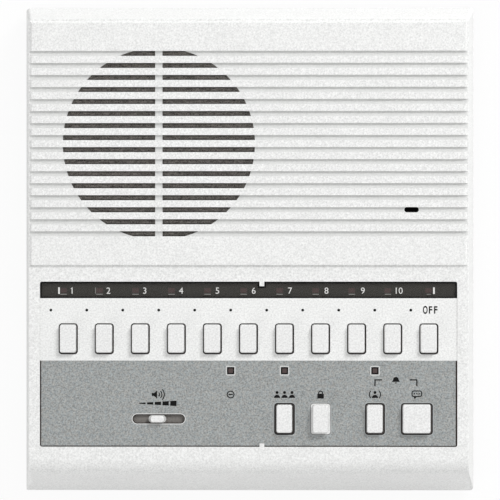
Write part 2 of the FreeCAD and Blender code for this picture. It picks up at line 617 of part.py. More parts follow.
def spring(name, x, y):
    """A coil spring round the stem, from its switch up to the key's flange, in one wire."""
    low = "switch_level + spring_end_gap + spring_wire_radius"
    helix = doc.addObject("Part::Helix", f"{name}_path")
    helix.SegmentLength = 1
    coil_height = "key_flange_level - switch_level - 2 * (spring_end_gap + spring_wire_radius)"
    helix.setExpression("Height", bound(coil_height))
    helix.setExpression("Pitch", bound(f"({coil_height}) / spring_turns"))
    helix.setExpression("Radius", bound("spring_radius"))
    wire = doc.addObject("Part::Circle", f"{name}_section")
    wire.Placement.Rotation = FreeCAD.Rotation(FreeCAD.Vector(1, 0, 0), 90)
    wire.setExpression("Radius", bound("spring_wire_radius"))
    place(helix, x, y, low)
    place(wire, f"{x} + spring_radius", y, low)
    coil = doc.addObject("Part::Sweep", f"{name}_coil")
    coil.Sections = [wire]
    coil.Spine = helix
    coil.Solid = True
    coil.Frenet = True
    part(name, coil)


for i, x in enumerate(station_xs, 1):
    key(f"station_key_{i:02d}", x, "key_y", "key_width", "key_length", "key_hole_width",
        "key_hole_length", "key_rise")
    spring(f"station_spring_{i:02d}", x, "key_y")
for name, (x, width, length, hole_width, hole_length, rise) in call_keys.items():
    key(name, x, "call_key_y", width, length, hole_width, hole_length, rise)
    spring(name.replace("_key", "_spring"), x, "call_key_y")

# Selector: one long switch block for the station keys, with the latch bar that holds a key down
block_low = "key_x - switch_margin"
block_high = f"key_x + {STATIONS} * key_pitch + switch_margin"
selector_body = box("selector_body", (block_low, "key_y - switch_width / 2", "board_top"),
                    (block_high, "key_y + switch_width / 2", "switch_level"))


def well(name, x, y):
    """The square well in a switch that a key's stem slides in."""
    return around(name, x, y, "stem_width + 2 * stem_clearance",
                  "stem_length + 2 * stem_clearance", "stem_end - key_travel - stem_clearance",
                  "switch_level + overrun")


station_wells = [well(f"station_well_{i}", x, "key_y") for i, x in enumerate(station_xs, 1)]
latch_way = box("latch_way",
                (f"{block_low} - overrun", "key_y - latch_width / 2 - latch_slot_clearance",
                 "latch_z - latch_slot_clearance"),
                (f"{block_high} + overrun", "key_y + latch_width / 2 + latch_slot_clearance",
                 "latch_z + latch_thickness + latch_slot_clearance"))
part("selector_switch_block", less("selector_block", selector_body, latch_way, *station_wells))
latch_strip = box("latch_strip",
                  (f"{block_low} - latch_overhang", "key_y - latch_width / 2", "latch_z"),
                  (f"{block_high} + latch_overhang", "key_y + latch_width / 2",
                   "latch_z + latch_thickness"))
latch_holes = [box(f"latch_hole_{i}",
                   (f"{x} - stem_width / 2 - latch_stem_gap - latch_travel",
                    "key_y - stem_length / 2 - latch_stem_gap", "latch_z - overrun"),
                   (f"{x} + stem_width / 2 + latch_stem_gap",
                    "key_y + stem_length / 2 + latch_stem_gap",
                    "latch_z + latch_thickness + overrun"))
               for i, x in enumerate(station_xs, 1)]
part("latch_bar", less("latch", latch_strip, *latch_holes))
call_switches = [less(f"{name}_switch",
                      around(f"{name}_switch_body", x, "call_key_y", "call_switch_width",
                             "call_switch_length", "board_top", "switch_level"),
                      well(f"{name}_well", x, "call_key_y"))
                 for name, (x, *_) in call_keys.items()]
part("call_switches", group("call_switch_group", call_switches))

# Volume control: a slide potentiometer, its lever, the knob on it and the shutter round it
potentiometer_body = around("potentiometer_body", "volume_x", "call_key_y",
                            "potentiometer_length", "potentiometer_width", "board_top",
                            "board_top + potentiometer_height")
lever_foot = "board_top + potentiometer_height - lever_slot_depth + lever_foot_gap"
lever_slot = around("lever_slot", "volume_x", "call_key_y",
                    "volume_travel + lever_length + 2 * lever_slot_clearance",
                    "lever_width + 2 * lever_slot_clearance",
                    "board_top + potentiometer_height - lever_slot_depth",
                    "board_top + potentiometer_height + overrun")
part("volume_potentiometer", less("potentiometer", potentiometer_body, lever_slot))
lever_top = "knob_top - lever_cover"
part("volume_lever", around("lever", "knob_x", "call_key_y", "lever_length", "lever_width",
                            lever_foot, lever_top))
knob_base = slab("knob_base", "knob_x", "call_key_y", "knob_length", "knob_width", "knob_level",
                 "panel_level + knob_base_rise", "end_share * knob_width")
knob_cap = slab("knob_cap", "knob_x", "call_key_y", "knob_cap_length", "knob_cap_width",
                "panel_level", "knob_top", "knob_cap_radius", "key_taper", "key_edge_radius")
knob_socket = around("knob_socket", "knob_x", "call_key_y", "lever_length + 2 * lever_fit",
                     "lever_width + 2 * lever_fit", "knob_level - overrun",
                     f"{lever_top} + lever_fit")
part("volume_knob", less("knob", joined("knob_body", knob_base, knob_cap), knob_socket))
shutter_sheet = around("shutter_sheet", "knob_x", "call_key_y", "2 * shutter_reach",
                       "shutter_width", "shutter_level", "shutter_top")
shutter_hole = around("shutter_hole", "knob_x", "call_key_y", "lever_length + 2 * lever_fit",
                      "lever_width + 2 * lever_fit", "shutter_level - overrun",
                      "shutter_top + overrun")
part("volume_shutter", less("shutter", shutter_sheet, shutter_hole))


# Lamps: each a block on two leads
def lamp(name, x, y, width, length, height, top):
    body = around(f"{name}_body", x, y, width, length, f"{top} - {height}", top)
    leads = [around(f"{name}_lead_{hand}", f"{x} {sign} lead_spacing / 2", y, "lead_size",
                    "lead_size", "board_top", f"{top} - {height} + root_depth")
             for hand, sign in (("left", "-"), ("right", "+"))]
    return joined(name, body, *leads)


part("station_lamps", group("station_lamp_group", [
    lamp(f"station_lamp_{i}", x, "lamp_y", "lamp_width", "lamp_length", "lamp_height",
         "strip_level - lamp_gap") for i, x in enumerate(lamp_xs, 1)]))
part("indicator_lamps", group("indicator_lamp_group", [
    lamp(f"indicator_lamp_{i}", x, "indicator_y", "indicator_size", "indicator_size",
         "indicator_height", "panel_level - indicator_drop")
    for i, x in enumerate(indicator_xs, 1)]))

# Loudspeaker behind the grille, from the cloth back to the yoke
cloth_level = "ceiling - cloth_thickness"
part("speaker_cloth", rod("cloth", "speaker_x", "speaker_y", "cloth_radius", cloth_level,
                          "ceiling"))
gasket_ring = rod("gasket_ring", "speaker_x", "speaker_y", "basket_radius",
                  f"{cloth_level} - gasket_thickness", cloth_level)
gasket_bore = rod("gasket_bore", "speaker_x", "speaker_y", "cone_radius + surround_width",
                  f"{cloth_level} - gasket_thickness - overrun", f"{cloth_level} + overrun")
part("speaker_gasket", less("gasket", gasket_ring, gasket_bore))
basket_profile = turned("basket_profile", "speaker_x", "speaker_y", "basket_level", [
    ("basket_radius - basket_rim_width", "basket_sheet"), ("basket_radius", "basket_sheet"),
    ("basket_radius", "0"), ("basket_shoulder_radius", "0"),
    ("basket_seat_radius", "-basket_depth"),
    ("basket_seat_radius", "-basket_depth - basket_sheet"),
    ("pole_radius + pole_gap", "-basket_depth - basket_sheet"),
    ("pole_radius + pole_gap", "-basket_depth"),
    ("basket_seat_radius - basket_sheet", "-basket_depth"),
    ("basket_shoulder_radius - 1.5 * basket_sheet", "0"),
    ("basket_radius - basket_rim_width", "0")])
window_reach = "(basket_shoulder_radius + basket_seat_radius) / 2"
basket_windows = [rod(f"basket_window_{i + 1}",
                      f"speaker_x + {window_reach} * cos({i} * 360 / basket_window_count)",
                      f"speaker_y + {window_reach} * sin({i} * 360 / basket_window_count)",
                      "basket_window_radius", "basket_level - basket_depth + overrun", "basket_level")
                  for i in range(int(size("basket_window_count")))]
part("speaker_basket", less("basket", basket_profile, *basket_windows))
part("speaker_cone", turned("cone", "speaker_x", "speaker_y", "basket_level + basket_sheet", [
    ("cone_radius + surround_width", "cone_sheet"), ("cone_radius + surround_width", "0"),
    ("cone_radius + surround_width / 2", "0"), ("cone_radius", "-cone_sheet"),
    ("coil_radius", "-basket_depth + 2 * basket_sheet"),
    ("0", "-basket_depth + 2 * basket_sheet + dome_rise"),
    ("0", "-basket_depth + 2 * basket_sheet + dome_rise + cone_sheet"),
    ("coil_radius", "-basket_depth + 2 * basket_sheet + 2 * cone_sheet"),
    ("cone_radius", "0"), ("cone_radius + surround_width / 3", "surround_rise"),
    ("cone_radius + surround_width * 2 / 3", "surround_rise")]))
magnet_top = "basket_level - basket_depth - basket_sheet"
magnet_ring = rod("magnet_ring", "speaker_x", "speaker_y", "magnet_radius", "yoke_level",
                  magnet_top)
magnet_hole = rod("magnet_hole", "speaker_x", "speaker_y", "magnet_bore",
                  "yoke_level - overrun", f"{magnet_top} + overrun")
part("speaker_magnet", less("magnet", magnet_ring, magnet_hole))
part("speaker_yoke", turned("yoke", "speaker_x", "speaker_y", "yoke_level - yoke_thickness", [
    ("0", "0"), ("magnet_radius", "0"), ("magnet_radius", "yoke_thickness"),
    ("pole_radius", "yoke_thickness"),
    ("pole_radius", "yoke_thickness + magnet_height + basket_sheet"),
    ("0", "yoke_thickness + magnet_height + basket_sheet")]))


def clamp(name, x, y):
    """A broad washer under its post, over the edge of the basket's rim."""
    disc = rod(f"{name}_disc", x, y, "clamp_radius", "basket_level - clamp_thickness", "basket_level")
    hole = rod(f"{name}_hole", x, y, "board_hole_radius", "basket_level - clamp_thickness - overrun",
               "basket_level + overrun")
    return less(name, disc, hole)


part("speaker_clamps", group("speaker_clamp_group", [
    clamp(f"speaker_clamp_{i}", x, y) for i, (x, y) in enumerate(speaker_posts, 1)]))

# Microphone: a capsule in a rubber boot, pushed into the ring behind its slot
boot_level = "ceiling - boot_height"
boot_cup = rod("boot_cup", "microphone_x", "microphone_y", "boot_radius", boot_level, "ceiling")
boot_hollow = rod("boot_hollow", "microphone_x", "microphone_y", "capsule_radius + microphone_fit",
                  f"{boot_level} - overrun", "ceiling - boot_wall")
boot_sound_hole = rod("boot_sound_hole", "microphone_x", "microphone_y",
                      "microphone_slot_length / 2", boot_level, "ceiling + overrun")
part("microphone_boot", less("boot", boot_cup, boot_hollow, boot_sound_hole))
part("microphone_capsule", rod("capsule", "microphone_x", "microphone_y", "capsule_radius",
                               "ceiling - boot_wall - capsule_height", "ceiling - boot_wall"))

# Main board: an L that spans the keys and reaches up beside the loudspeaker
board_span = box("board_span", ("-board_width / 2", "board_low_y", "board_level"),
                 ("board_width / 2", "board_waist_y", "board_top"))
board_arm = box("board_arm", ("board_arm_x", "board_waist_y - overrun", "board_level"),
                ("board_width / 2", "board_high_y", "board_top"))
board_holes = [rod(f"board_hole_{i}", x, y, "board_hole_radius", "board_level - overrun",
                   "board_top + overrun")
               for i, (x, y) in enumerate(cover_board_posts + panel_board_posts, 1)]
part("main_board", less("board", joined("board_sheet", board_span, board_arm), *board_holes))
terminal_body = around("terminal_body", "terminal_x", "terminal_y", "terminal_length",
                       "terminal_width", "board_level - terminal_height", "board_level")
terminal_holes = [rod(f"terminal_hole_{i + 1}",
                      f"terminal_x + ({i + 0.5} / terminal_count - 0.5) * terminal_length",
                      "terminal_y + terminal_hole_y", "terminal_hole_radius",
                      "board_level - terminal_height - overrun",
                      "board_level - terminal_height + terminal_hole_depth")
                  for i in range(int(size("terminal_count")))]
part("terminal_block", less("terminals", terminal_body, *terminal_holes))
core = around("core", "transformer_x", "transformer_y", "core_length", "core_width",
              "board_top", "board_top + core_height")
winding = around("winding", "transformer_x", "transformer_y", "winding_length",
                 "winding_width", "board_top", "board_top + winding_height")
part("output_transformer", joined("transformer", core, winding))
part("capacitors", group("capacitor_group", [
    rod(f"capacitor_{i + 1}", "capacitor_x", f"capacitor_y + {i} * capacitor_spacing",
        "capacitor_radius", "board_top", "board_top + capacitor_height")
    for i in range(int(size("capacitor_count")))]))


# Self-tapping screws, all alike and all driven upwards: case, boards and loudspeaker clamps
def screw(name, x, y, seat):
    blank = turned(f"{name}_blank", x, y, f"{seat} - screw_head_height", [
        ("0", "0"), ("screw_head_radius - screw_crown", "0"),
        ("screw_head_radius", "screw_crown"), ("screw_head_radius", "screw_head_height"),
        ("screw_radius", "screw_head_height"),
        ("screw_radius", "screw_head_height + screw_length - screw_tip"),
        ("screw_radius / 3", "screw_head_height + screw_length"),
        ("0", "screw_head_height + screw_length")])
    cross = [around(f"{name}_cross_{hand}", x, y, length, width,
                    f"{seat} - screw_head_height - overrun",
                    f"{seat} - screw_head_height + cross_depth")
             for hand, length, width in (("long", "cross_length", "cross_width"),
                                         ("wide", "cross_width", "cross_length"))]
    return less(name, blank, *cross)


seats = [(x, y, "case_post_level - seat_thickness") for x, y in case_posts]
seats += [(x, y, "basket_level - clamp_thickness") for x, y in speaker_posts]
seats += [(x, y, "board_level") for x, y in cover_board_posts + panel_board_posts]
part("self_tapping_screws", group("screw_group", [
    screw(f"screw_{i}", x, y, seat) for i, (x, y, seat) in enumerate(seats, 1)]))

# Rear cover: a shallow tray whose rim locates inside the front cover
rear_plate = slab("rear_plate", "0", "0", "case_width - 2 * rear_inset",
                  "case_length - 2 * rear_inset", "foot_height", "cover_level",
                  "rear_corner_radius")
rear_rim_top = "cover_level + rim_height"
rim_drop = "(wall + rim_gap)"
rim_high_y = f"{half_length} - {rim_drop} - top_draft * rim_height / face_rise"
rim_low_y = f"-{half_length} + {rim_drop} + rim_height * front_run"
rim_half = f"{half_width} - {rim_drop} - side_draft * rim_height / face_rise"
rear_rim = box("rear_rim", (f"-({rim_half})", rim_low_y, "rear_top"),
               (rim_half, rim_high_y, rear_rim_top))
rear_hollow = box("rear_hollow",
                  (f"-({rim_half}) + rim_thickness", f"{rim_low_y} + rim_thickness", "rear_top"),
                  (f"{rim_half} - rim_thickness", f"{rim_high_y} - rim_thickness",
                   f"{rear_rim_top} + overrun"))
rear_shell = less("rear_shell", joined("rear_block", rear_plate, rear_rim), rear_hollow)
rear_bosses = [rod(f"rear_boss_{i}", x, y, "rear_boss_radius", "foot_height + root_depth",
                   "case_post_level") for i, (x, y) in enumerate(case_posts, 1)]
counterbores = [rod(f"counterbore_{i}", x, y, "counterbore_radius", "foot_height - overrun",
                    "case_post_level - seat_thickness")
                for i, (x, y) in enumerate(case_posts, 1)]
screw_holes = [rod(f"screw_hole_{i}", x, y, "screw_hole_radius", "foot_height",
                   "case_post_level + overrun") for i, (x, y) in enumerate(case_posts, 1)]
cable_entry = slab("cable_entry", "0", "cable_entry_y", "cable_entry_length",
                   "cable_entry_width", "foot_height - overrun", "rear_top + overrun",
                   "cable_entry_radius")
wall_slots = [slab(f"wall_slot_{hand}", "0", f"cable_entry_y {sign} wall_screw_spacing / 2",
                   "wall_slot_width", "wall_slot_length", "foot_height - overrun",
                   "rear_top + overrun", "end_share * wall_slot_width")
              for hand, sign in (("upper", "+"), ("lower", "-"))]
foot_places = [(f"{sign}foot_x", y) for sign in ("-", "")
               for y in ("lower_foot_y", "upper_foot_y")]
foot_recesses = [rod(f"foot_recess_{i}", x, y, "foot_radius + foot_fit",
                     "foot_height - overrun", "foot_height + foot_recess")
                 for i, (x, y) in enumerate(foot_places, 1)]
part("rear_cover", less("rear", joined("rear_with_bosses", rear_shell, *rear_bosses),
                        *counterbores, *screw_holes, cable_entry, *wall_slots,
                        *foot_recesses))
part("rubber_feet", group("foot_group", [
    turned(f"foot_{i}", x, y, "0", [
        ("0", "0"), ("foot_radius - foot_edge", "0"), ("foot_radius", "foot_edge"),
        ("foot_radius", "foot_height + foot_recess"), ("0", "foot_height + foot_recess")])
    for i, (x, y) in enumerate(foot_places, 1)]))

doc.recompute()
faults = [item.Name for item in doc.Objects if "Invalid" in item.State or "Error" in item.State]
faults += [name for name, item in parts.items()
           if item.Shape.isNull() or not item.Shape.isValid() or not item.Shape.Solids]
if faults:
    raise SystemExit("not built: " + ", ".join(faults))
os.makedirs("parts", exist_ok=True)
for name, item in parts.items():
    item.Shape.exportStep(f"parts/{name}.step")
    print(f"{name}: {len(item.Shape.Solids)} solids, {item.Shape.Volume:.1f} mm3")
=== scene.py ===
"""Desk intercom: camera, light, finishes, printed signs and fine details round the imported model."""
import math

import bmesh
import bpy
from mathutils import Matrix, Vector


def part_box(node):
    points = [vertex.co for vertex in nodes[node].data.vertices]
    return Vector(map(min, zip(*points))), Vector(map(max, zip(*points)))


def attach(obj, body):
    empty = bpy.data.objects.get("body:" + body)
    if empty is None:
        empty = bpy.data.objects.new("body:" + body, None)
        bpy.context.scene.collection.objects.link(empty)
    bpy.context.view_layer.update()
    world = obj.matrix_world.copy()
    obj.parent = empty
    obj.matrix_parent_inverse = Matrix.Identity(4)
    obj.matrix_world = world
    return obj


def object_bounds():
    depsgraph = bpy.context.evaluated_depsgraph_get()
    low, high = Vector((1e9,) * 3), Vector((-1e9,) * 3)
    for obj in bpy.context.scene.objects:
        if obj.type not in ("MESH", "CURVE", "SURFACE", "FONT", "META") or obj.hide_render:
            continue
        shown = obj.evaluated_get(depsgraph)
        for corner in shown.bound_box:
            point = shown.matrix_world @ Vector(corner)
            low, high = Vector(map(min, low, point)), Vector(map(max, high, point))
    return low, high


MM = 0.001

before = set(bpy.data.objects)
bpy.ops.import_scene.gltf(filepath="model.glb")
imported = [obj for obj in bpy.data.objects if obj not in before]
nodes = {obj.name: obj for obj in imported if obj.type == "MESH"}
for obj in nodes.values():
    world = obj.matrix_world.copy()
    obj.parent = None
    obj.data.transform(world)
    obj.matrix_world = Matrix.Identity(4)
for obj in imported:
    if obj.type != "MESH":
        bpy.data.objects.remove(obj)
cad_low, cad_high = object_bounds()


def level(node):
    """The height of a node's top, in metres."""
    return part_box(node)[1].z


def middle(node):
    """The middle of a node in plan, in millimetres."""
    low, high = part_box(node)
    return (low.x + high.x) / (2 * MM), (low.y + high.y) / (2 * MM)


# The raised field with the grooves: its level and its edges, in metres
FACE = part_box("front_cover")[1].z - 1.2 * MM
STEP_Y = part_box("control_panel")[1].y + 5.8 * MM
FIELD_HIGH_Y = cad_high.y - 9.0 * MM
FIELD_X = cad_high.x - 4.0 * MM

# The grille's slots: the first one's middle and the distance between them
GRILLE_SLOT_Y = 81.35 * MM
GRILLE_PITCH = 5.0 * MM


# Finishes: value maths written as expressions, and one method for every other node
class Signal:
    """An output socket in a finish. Sums and products of signals add their own Math nodes."""

    def __init__(self, finish, socket):
        self.finish = finish
        self.socket = socket

    def maths(self, operation, first, second, clamp=False):
        return self.finish.node("ShaderNodeMath", {"operation": operation, "use_clamp": clamp},
                                {0: first, 1: second})

    def __add__(self, other):
        return self.maths("ADD", self, other)

    def __radd__(self, other):
        return self.maths("ADD", other, self)

    def __sub__(self, other):
        return self.maths("SUBTRACT", self, other)

    def __rsub__(self, other):
        return self.maths("SUBTRACT", other, self)

    def __mul__(self, other):
        return self.maths("MULTIPLY", self, other)

    def __rmul__(self, other):
        return self.maths("MULTIPLY", other, self)

    def __gt__(self, other):
        return self.maths("GREATER_THAN", self, other)

    def __lt__(self, other):
        return self.maths("LESS_THAN", self, other)

    def clamped(self):
        return self.maths("ADD", self, 0.0, clamp=True)


class Finish:
    """A procedural material on object coordinates, with its constants on the shader's sockets."""

    def __init__(self, name, **constants):
        self.material = bpy.data.materials.new(name)
        self.material.use_nodes = True
        self.tree = self.material.node_tree
        self.shader = self.tree.nodes["Principled BSDF"]
        for words, value in constants.items():
            self.shader.inputs[words.replace("_", " ").title().replace("Ior", "IOR")] \
                .default_value = value
        self.place = self.node("ShaderNodeTexCoord", output="Object")

    def node(self, kind, settings=None, inputs=None, output=0):
        made = self.tree.nodes.new(kind)
        for key, value in (settings or {}).items():
            setattr(made, key, value)
        for key, value in (inputs or {}).items():
            self.feed(made.inputs[key], value)
        return Signal(self, made.outputs[output])

    def feed(self, socket, value):
        if isinstance(value, Signal):
            self.tree.links.new(value.socket, socket)
        else:
            socket.default_value = value

    def vary(self, **signals):
        """Feeds what changes over the surface into the shader."""
        for words, signal in signals.items():
            self.feed(self.shader.inputs[words.replace("_", " ").title()], signal)

    def stretched(self, scale):
        return self.node("ShaderNodeMapping", None, {"Vector": self.place, "Scale": scale})

    def noise(self, size_mm, detail=2.0, rough=0.5, vector=None):
        """Noise whose features are about that size, round 0.5."""
        return self.node("ShaderNodeTexNoise", {"noise_dimensions": "3D"},
                         {"Vector": vector or self.place, "Scale": 1.0 / (size_mm * MM),
                          "Detail": detail, "Roughness": rough})

    def cell_edges(self, size_mm):
        """The distance to the nearest edge between cells of about that size."""
        return self.node("ShaderNodeTexVoronoi", {"feature": "DISTANCE_TO_EDGE"},
                         {"Vector": self.place, "Scale": 1.0 / (size_mm * MM)}, "Distance")

    def axis(self, name):
        return self.node("ShaderNodeSeparateXYZ", None, {0: self.place}, name)

    def sine(self, angle):
        return self.node("ShaderNodeMath", {"operation": "SINE"}, {0: angle})

    def blend(self, share, first, second):
        made = self.tree.nodes.new("ShaderNodeMix")
        made.data_type = "RGBA"
        self.feed(made.inputs[0], share)
        for socket, colour in ((made.inputs[6], first), (made.inputs[7], second)):
            self.feed(socket, (*colour, 1.0) if isinstance(colour, tuple) else colour)
        return Signal(self, made.outputs[2])

    def bump(self, height, depth_mm):
        return self.node("ShaderNodeBump", None,
                         {"Strength": 1.0, "Distance": depth_mm * MM, "Height": height})


def shaded(colour, factor):
    return tuple(factor * c for c in colour)


def moulded(name, colour, roughness, grain=0.2, spark_depth=0.012, painted_shade_and_tone=None, **constants):
    """A moulded plastic: a fine spark texture, a faint grain, slow changes of tone, and, where a
    signal says so, a second colour: painted shade on most parts, a greyer tone on the knob's base."""
    finish = Finish(name, roughness=roughness, **constants)
    dark = shaded(colour, 1 - grain)
    light = tuple(min(1.0, c) for c in shaded(colour, 1 + grain))
    tone = finish.noise(0.7, 3.0, 0.7) * 2.4 + finish.noise(22.0, 1.0) * 0.15 - 0.775
    tint = finish.blend(tone.clamped(), dark, light)
    # Where the signal says so, a second colour goes over the plastic's: painted shade on the cover,
    # the panel and the keys' bodies, a greyer tone on the knob's base.
    if painted_shade_and_tone:
        share, shade_and_tone = painted_shade_and_tone(finish)
        tint = finish.blend(share, tint, shade_and_tone)
    finish.vary(base_color=tint, roughness=finish.noise(3.0) * 0.08 + (roughness - 0.04),
                normal=finish.bump(finish.noise(0.35, 3.0, 0.6), spark_depth))
    return finish.material


def painted_groove_shade(finish):
    """Painted shade on the floors of the grooves in the raised field."""
    x, y, z = (finish.axis(name) for name in "XYZ")
    within = (y > STEP_Y) * (y < FIELD_HIGH_Y) * (x > -FIELD_X) * (x < FIELD_X)
    # Painted shade: the groove floors take a darker grey, standing in for the shade down in the
    # grooves.
    return (z > FACE - 0.1 * MM) * (z < FACE + 0.2 * MM) * within * 0.6, (0.71, 0.715, 0.705)


def painted_hole_shade(finish):
    """Painted shade on the walls of the panel's holes, which stay dark."""
    low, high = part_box("control_panel")
    x, y, z = (finish.axis(name) for name in "XYZ")
    inside = (x > low.x + 3 * MM) * (x < high.x - 3 * MM) * (y > low.y + 3 * MM)
    # Painted shade: below the panel's top, the hole walls turn dark brown.
    return inside * (z < high.z - 0.25 * MM), (0.2, 0.18, 0.17)


def painted_key_shade(top):
    """Painted shade on a key's body, darker from a little below its white cap down, where the gap
    round the key lies in shade.
    """
    # Painted shade: dark brown below the cap, seen down the gap round the key.
    return lambda finish: (finish.axis("Z") < top - 3.4 * MM, (0.08, 0.065, 0.06))


def knob_base(top):
    """The volume knob's base, greyer than its cap."""
    return lambda finish: (finish.axis("Z") < top - 1.2 * MM, (0.56, 0.56, 0.55))


def metal(name, colour, roughness, grain_mm=(0.15, 4.0, 4.0)):
    """Rolled or plated metal with a fine grain along one direction."""
    finish = Finish(name, metallic=1.0, roughness=roughness)
    streaks = finish.noise(1.0, 3.0, 0.6, finish.stretched(tuple(1.0 / g for g in grain_mm)))
    finish.vary(base_color=finish.blend(streaks, shaded(colour, 0.85), colour),
                roughness=streaks * 0.2 + (roughness - 0.1), normal=finish.bump(streaks, 0.004))
    return finish.material


def woven(name, dark, light, pitch_mm):
    """An open plain weave: two sets of uneven threads, each dipping under the other, darkened with
    painted shade along the grille's ribs."""
    finish = Finish(name, roughness=0.9, specular_ior_level=0.2)
    turn = math.pi / (pitch_mm * MM)
    x, y = finish.axis("X"), finish.axis("Y")
    wobble = finish.noise(2.0, 2.0) * (1.6 * pitch_mm * MM)
    across, along = finish.sine((x + wobble) * turn), finish.sine((y + wobble) * turn)
    threads = finish.node("ShaderNodeMath", {"operation": "ABSOLUTE"}, {0: across * along})
    fuzz = finish.noise(0.5, 3.0, 0.75)
    streaks = finish.noise(1.0, 4.0, 0.75, finish.stretched((0.6, 1.6, 1.0)))
    height = threads * 0.2 + fuzz * 0.4 + streaks * 0.4
    # Painted shade: the cloth darkens away from the middle of each slot, towards the ribs that shade
    # it.
    rib = finish.sine((y - GRILLE_SLOT_Y) * (math.pi / GRILLE_PITCH))
    unshaded_share = (rib * rib * -3.6 + 1.15).clamped()
    finish.vary(base_color=finish.blend((height * 5.0 - 1.95).clamped() * unshaded_share, dark, light),
                normal=finish.bump(height, 0.15))
    return finish.material


def board(name):
    """Green laminate with a tangle of fine tracks under the lacquer."""
    finish = Finish(name, roughness=0.4, coat_weight=0.4)
    tracks = finish.cell_edges(5.0) < 0.06
    lacquer = finish.blend(finish.noise(12.0), (0.012, 0.075, 0.02), (0.02, 0.11, 0.035))
    finish.vary(base_color=finish.blend(tracks, lacquer, (0.06, 0.2, 0.06)),
                normal=finish.bump(tracks, 0.03))
    return finish.material


def film(name, cool, warm, spread):
    """Printed film with a satin face and a speckle in two tones."""
    finish = Finish(name, roughness=0.5, specular_ior_level=0.3)
    speckle = (finish.noise(0.65, 3.0, 0.75) * 2.2 - 0.6).clamped()
    hue = (finish.noise(1.2, 3.0, 0.7) * 3.0 - 1.0).clamped()
    tint = finish.node("ShaderNodeHueSaturation", None,
                       {"Color": finish.blend(hue, cool, warm),
                        "Value": speckle * (2 * spread) + (1 - spread)})
    finish.vary(base_color=tint, normal=finish.bump(finish.noise(0.3, 2.0), 0.006))
    return finish.material


def pulp(name, dark, light):
    """Matted fibres, as in a paper cone or a foam."""
    finish = Finish(name, roughness=0.95, specular_ior_level=0.15)
    fibres = finish.noise(0.6, 5.0, 0.7)
    finish.vary(base_color=finish.blend(fibres, dark, light), normal=finish.bump(fibres, 0.05))
    return finish.material


def smoked(name, colour, alpha):
    """A smooth dark plastic with a slight haze."""
    finish = Finish(name, roughness=0.12, alpha=alpha, specular_ior_level=0.4)
    haze = finish.noise(6.0, 3.0)
    finish.vary(base_color=finish.blend(haze, shaded(colour, 0.85), colour),
                roughness=haze * 0.1 + 0.08)
    return finish.material


def ink(name, colour):
    """Printing ink, slightly uneven. The same finish also serves for painted shade."""
    finish = Finish(name, roughness=0.7, specular_ior_level=0.05)
    finish.vary(base_color=finish.blend(finish.noise(0.3, 2.0), shaded(colour, 0.85), colour))
    return finish.material


def key_plastic(name, shade_and_tone=None):
    # The signal lays painted shade on a key's body; on the knob it lays the greyer tone of its base.
    return moulded(name, (0.83, 0.832, 0.825), 0.35, grain=0.17, spark_depth=0.004, painted_shade_and_tone=shade_and_tone,
                   coat_weight=0.15, coat_roughness=0.3)


cover_white = moulded("cover_plastic", (0.83, 0.835, 0.825), 0.55, painted_shade_and_tone=painted_groove_shade)
panel_white = moulded("panel_plastic", (0.85, 0.855, 0.845), 0.45, grain=0.17, painted_shade_and_tone=painted_hole_shade)
rear_grey = moulded("rear_plastic", (0.3, 0.3, 0.29), 0.6, spark_depth=0.03)
switch_black = moulded("switch_plastic", (0.02, 0.02, 0.02), 0.35)
shutter_brown = moulded("shutter_film", (0.22, 0.205, 0.19), 0.6)
overlay_grey = film("overlay_film", (0.31, 0.342, 0.352), (0.355, 0.352, 0.335), 0.55)
card_black = film("card_print", (0.064, 0.064, 0.058), (0.072, 0.068, 0.058), 0.25)
window_smoke = smoked("window_acrylic", (0.06, 0.055, 0.05), 0.22)
lamp_resin = smoked("lamp_resin", (0.085, 0.06, 0.057), 1.0)
station_resin = smoked("station_lamp_resin", (0.19, 0.125, 0.12), 1.0)
cloth = woven("speaker_cloth", (0.014, 0.012, 0.011), (0.5, 0.465, 0.43), 0.45)
cone_pulp = pulp("cone_pulp", (0.02, 0.019, 0.018), (0.06, 0.055, 0.05))
foam = pulp("foam", (0.012, 0.012, 0.012), (0.04, 0.04, 0.04))
rubber = moulded("foot_rubber", (0.022, 0.022, 0.022), 0.75, spark_depth=0.02)
ferrite = pulp("ferrite", (0.03, 0.03, 0.032), (0.06, 0.06, 0.062))
steel = metal("zinc_plate", (0.62, 0.63, 0.64), 0.32)
wire = metal("spring_wire", (0.6, 0.6, 0.61), 0.28, (0.1, 0.1, 0.1))
can = metal("drawn_aluminium", (0.8, 0.8, 0.81), 0.3, (4.0, 4.0, 0.1))
laminations = metal("laminations", (0.3, 0.3, 0.31), 0.5, (8.0, 8.0, 0.35))
screw_steel = metal("screw_plate", (0.55, 0.55, 0.56), 0.3, (0.3, 0.3, 0.3))
green_board = board("board_laminate")
# The black ink serves both for print and for painted shade; the brown one only for painted shade.
black_ink_and_shade = ink("black_ink_and_shade", (0.012, 0.012, 0.012))
brown_painted_shade = ink("brown_painted_shade", (0.026, 0.016, 0.013))
pale_ink = ink("pale_ink", (0.8, 0.8, 0.78))
rim_ink = ink("rim_ink", (0.72, 0.73, 0.72))
faint_ink = ink("faint_ink", (0.46, 0.48, 0.48))
dim_ink = ink("dim_ink", (0.27, 0.265, 0.25))
key_white = key_plastic("key_plastic")
station_white = key_plastic("station_key_plastic", painted_key_shade(level("station_key_01")))
knob_white = key_plastic("knob_plastic", knob_base(level("volume_knob")))
call_whites = {name: key_plastic(f"{name}_plastic", painted_key_shade(level(name)))
               for name in ("all_call_key", "private_key", "talk_key")}

